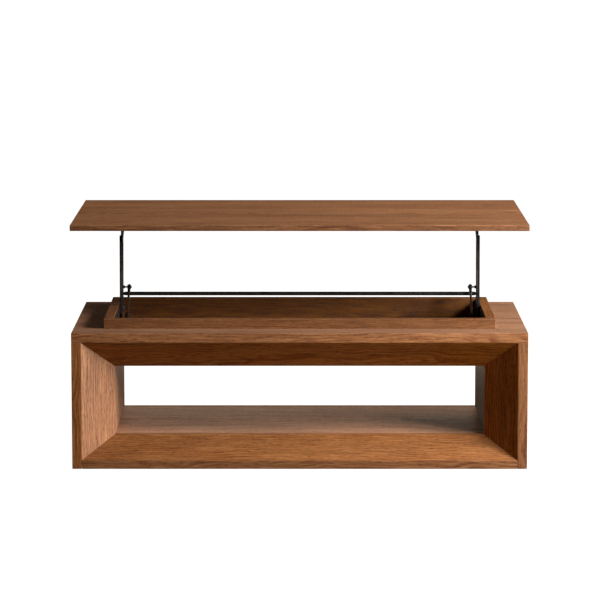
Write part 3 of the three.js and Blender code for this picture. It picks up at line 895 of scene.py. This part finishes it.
tab_low, tab_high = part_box("lid_bracket_right")
rear_pin, front_pin = centre("upper_pin_rear_right"), centre("upper_pin_front_right")
slope = math.atan2(rear_pin.z - front_pin.z, rear_pin.y - front_pin.y)
drop = TAB_MARGIN / math.cos(slope)
front_corner = front_pin.z - drop - TAB_MARGIN * math.tan(slope)
rear_corner = rear_pin.z - drop + TAB_MARGIN * math.tan(slope)
tab_low.z = front_corner
tab = folded_plate("lid_bracket_right_plate", tab_low, tab_high, PLATE, "head", [
    (lambda middle, way: abs(way.z) > NEARLY and near(middle.x, tab_low.x), FLANGE_CORNER),
])
bpy.ops.object.mode_set(mode="EDIT")
pick(tab, "EDGE", lambda middle, way: abs(way.x) > NEARLY
     and near(middle.z, front_corner) and middle.y > rear_pin.y)
bpy.ops.transform.translate(value=(0, 0, rear_corner - front_corner))
for pin, corner in ((front_pin, math.pi / 2 - slope), (rear_pin, math.pi / 2 + slope)):
    pick(tab, "EDGE", lambda middle, way: abs(way.x) > NEARLY and middle.z < pin.z
         and abs(middle.y - pin.y) < CORNER_REACH)
    bpy.ops.mesh.bevel(offset=TAB_ROUNDING / math.tan(corner / 2), segments=10, affect="EDGES")
bpy.ops.object.mode_set(mode="OBJECT")
left_tab = mirrored(tab, "lid_bracket_left_plate")
made(eased(tab, PLATE_EASE, segments=2, angle=40), "lid_bracket_right")
made(eased(left_tab, PLATE_EASE, segments=2, angle=40), "lid_bracket_left")
print("lid brackets", [round(v / MM, 1) for v in tab_high - tab_low], "mm")

# %% [markdown]
# ## Screws
# The brackets are held by pan head screws with a cross recess. One is turned, and the cross
# is cut with a boolean modifier. It is then copied to each place, with its recess turned by
# a different angle, as hand-driven screws are.

# %% One screw
SCREW_HEAD = 4.0 * MM  # radius
SCREW_HEIGHT = 2.0 * MM
SCREW_SHANK = 0.62 * SCREW_HEAD
SHANK_LENGTH = 3 * MM  # its upper end, the only part that is modelled
CROSS_LENGTH = 4.4 * MM
CROSS_WIDTH = 0.9 * MM
CROSS_DEPTH = 1.3 * MM


def fused(piece, other, operation):
    """Joins another solid to the piece, or cuts it away, and removes the other."""
    only(piece)
    change = piece.modifiers.new("fused", "BOOLEAN")
    change.operation = operation
    change.solver = "EXACT"
    change.object = other
    bpy.ops.object.modifier_apply(modifier=change.name)
    bpy.data.objects.remove(other)
    return piece


screw = turned_part("pan_head_screw", [
    (SCREW_SHANK, -SHANK_LENGTH), (SCREW_SHANK, 0), (SCREW_HEAD, 0),
    (SCREW_HEAD, 0.4 * SCREW_HEIGHT), (0.9 * SCREW_HEAD, 0.75 * SCREW_HEIGHT),
    (0.66 * SCREW_HEAD, SCREW_HEIGHT),
], sides=24)
head_top = Vector((0, 0, SCREW_HEIGHT))
for slot_x, slot_y in ((CROSS_LENGTH, CROSS_WIDTH), (CROSS_WIDTH, CROSS_LENGTH)):
    half = Vector((slot_x, slot_y, 2 * CROSS_DEPTH)) / 2
    fused(screw, block("cross_cutter", head_top - half, head_top + half), "DIFFERENCE")
print("a screw has", len(screw.data.polygons), "faces")

# %% Screws in place
PLATE_SCREWS = (-0.15, -0.02, 0.1)  # places along the table's depth, in metres
FOOT_SCREWS = (-0.14, 0.0, 0.105)
TAB_SCREWS = (0.068, 0.1, 0.132)
PLATE_SCREW_HEIGHT = 312 * MM
FLANGE_INSET = 8 * MM  # from a flange's free edge to its screws


def driven(name, at, out, turn, body):
    """A copy of the screw at a point on a plate, with its head facing out."""
    other = copied(screw, name)
    other.data.transform(Matrix.Rotation(turn, 4, "Z"))
    stood(other, at, out)
    return made(eased(other, 0.12 * MM, segments=1, angle=40), slot="plated_steel", body=body)


chance = random.Random("screws")
plate_face = base_high.x - PLATE
for name, side in SIDES.items():
    places = [(plate_face, y, PLATE_SCREW_HEIGHT, (-side, 0, 0), "base") for y in PLATE_SCREWS]
    places += [(base_low.x + FLANGE_INSET, y, base_low.z + PLATE, (0, 0, 1), "base")
               for y in FOOT_SCREWS]
    places += [(tab_low.x + FLANGE_INSET, y, tab_high.z - PLATE, (0, 0, -1), "lid_body")
               for y in TAB_SCREWS]
    for number, (x, y, z, out, body) in enumerate(places, start=1):
        at = Vector((side * x, y, z))
        driven(f"{body}_screw_{name}_{number}", at, out, chance.uniform(0, math.pi), body)
bpy.data.objects.remove(screw)
print("18 screws")

# %% [markdown]
# ## Gas struts
# A strut is a painted cylinder with a chromed rod, and a small fitting at each end. The cylinder's
# mouth is rolled in over the seal, which leaves a groove just below it. The fittings are barrels on
# a stem, made of two turned parts joined by a boolean, and the upper one is drilled for its pin.
# The rod slides into the cylinder's bore, so the bore is really there.

# %% Strut fittings
EYE_RADIUS = 6 * MM
EYE_HALF = 5 * MM  # half its width, along the pin
EYE_BORE = 2.5 * MM
STEM_RADIUS = 4 * MM


def fitting(name, at, way, stem_length, drilled):
    """A barrel across the strut, on a stem that points along way.

    A drilled one has a hole for its pin, and its stem comes out beyond it as a short tip.
    """
    eye = turned_part(name, [
        (0.88 * EYE_RADIUS, -EYE_HALF), (EYE_RADIUS, -0.8 * EYE_HALF),
        (EYE_RADIUS, 0.8 * EYE_HALF), (0.88 * EYE_RADIUS, EYE_HALF),
    ])
    stood(eye, at, (1, 0, 0))
    if drilled:
        chamfer = 1.2 * MM
        rings = [
            (0.4 * STEM_RADIUS, -1.75 * EYE_RADIUS), (0.62 * STEM_RADIUS, -1.6 * EYE_RADIUS),
            (0.62 * STEM_RADIUS, -0.8 * EYE_RADIUS), (STEM_RADIUS, -0.4 * EYE_RADIUS),
        ]
    else:
        chamfer = 0.8 * MM
        rings = [(STEM_RADIUS, 0)]
    rings += [(STEM_RADIUS, stem_length - chamfer), (0.85 * STEM_RADIUS, stem_length)]
    stem = turned_part("stem", rings)
    stood(stem, at, way)
    fused(eye, stem, "UNION")
    if drilled:
        drill = turned_part("drill", [(EYE_BORE, -2 * EYE_HALF), (EYE_BORE, 2 * EYE_HALF)])
        stood(drill, at, (1, 0, 0))
        fused(eye, drill, "DIFFERENCE")
    return eased(eye, 0.3 * MM, segments=2, angle=40)


print("fittings have eyes", 2 * EYE_RADIUS / MM, "mm across")

# %% Struts
STEM = 20 * MM
FOOT_STEM = 10 * MM
ROD_RADIUS = 3 * MM
ROD_CHAMFER = 0.6 * MM
ROD_BOTTOM = 126 * MM  # from the upper pin down to the rod's lower end
BARREL_TOP = 106 * MM  # from the upper pin down to the cylinder's mouth
BARREL_RADIUS = 6.5 * MM
BARREL_FOOT = ((0.72, 0), (0.9, 0.6), (1, 2.2))  # share of the radius, and mm above its foot
BARREL_MOUTH = (  # share of the radius, and mm below its mouth
    (1, 9.4), (0.87, 8.2), (0.87, 7.4), (1, 6.2), (1, 1.8), (0.86, 0.3), (0.7, 0),
)
ROD_BORE = 3.25 * MM
END_WALL = 6 * MM  # left at the foot of the bore
GAP = 0.3 * MM  # between a fitting's stem and the rod or cylinder


def strut_ends(name):
    """The upper pin, the lower pin and the direction up the strut, from its nodes."""
    top = centre("upper_strut_stud_" + name)
    foot = centre("lower_strut_stud_" + name)
    top.x = foot.x = centre("strut_rod_end_" + name).x
    return top, foot, (top - foot).normalized()


for name in SIDES:
    top, foot, up = strut_ends(name)
    length = (top - foot).length
    made(fitting(f"strut_rod_end_{name}_fitting", top, -up, STEM, True), "strut_rod_end_" + name)
    made(fitting(f"strut_foot_{name}_fitting", foot, up, FOOT_STEM, False), "strut_foot_" + name)
    rod_length = ROD_BOTTOM - STEM - GAP
    rod = turned_part(f"strut_rod_{name}_ground", [
        (0.8 * ROD_RADIUS, 0), (ROD_RADIUS, ROD_CHAMFER),
        (ROD_RADIUS, rod_length - ROD_CHAMFER), (0.8 * ROD_RADIUS, rod_length),
    ])
    stood(rod, top - up * (STEM + GAP), -up)
    made(eased(rod, 0.1 * MM, segments=2), "strut_rod_" + name)
    barrel_length = length - BARREL_TOP - FOOT_STEM - GAP
    rings = [(share * BARREL_RADIUS, above * MM) for share, above in BARREL_FOOT]
    rings += [(share * BARREL_RADIUS, barrel_length - below * MM)
              for share, below in BARREL_MOUTH]
    rings += [(ROD_BORE, barrel_length), (ROD_BORE, END_WALL)]
    barrel = turned_part(f"strut_cylinder_{name}_tube", rings, sides=40)
    stood(barrel, foot + up * (FOOT_STEM + GAP), up)
    made(eased(barrel, 0.2 * MM, segments=2, angle=50), "strut_cylinder_" + name)
print("two struts,", round(length / MM, 1), "mm from pin to pin")

# %% Strut studs
STUD_RADIUS = 2.25 * MM
CLIP = 1.2 * MM  # thickness of the clip on the upper stud's end
CLIP_RADIUS = 3.2 * MM
COLLAR = {"upper": (4.2 * MM, 4 * MM), "lower": (4.6 * MM, 2 * MM)}  # radius and thickness

for name, side in SIDES.items():
    for level, (collar, collar_thick) in COLLAR.items():
        node = f"{level}_strut_stud_{name}"
        low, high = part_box(node)
        long = high.x - low.x
        if level == "upper":
            rings = [(CLIP_RADIUS, 0), (CLIP_RADIUS, CLIP), (STUD_RADIUS, CLIP)]
        else:
            rings = [(STUD_RADIUS - TIP, 0), (STUD_RADIUS, TIP)]
        shoulder = long - collar_thick
        rings += [(STUD_RADIUS, shoulder), (collar, shoulder), (collar, long)]
        stud = turned_part(node + "_turned", rings, sides=24)
        stood(stud, inner_end(node, side), (side, 0, 0))
        made(eased(stud, 0.2 * MM, segments=2), node)
print("4 strut studs")
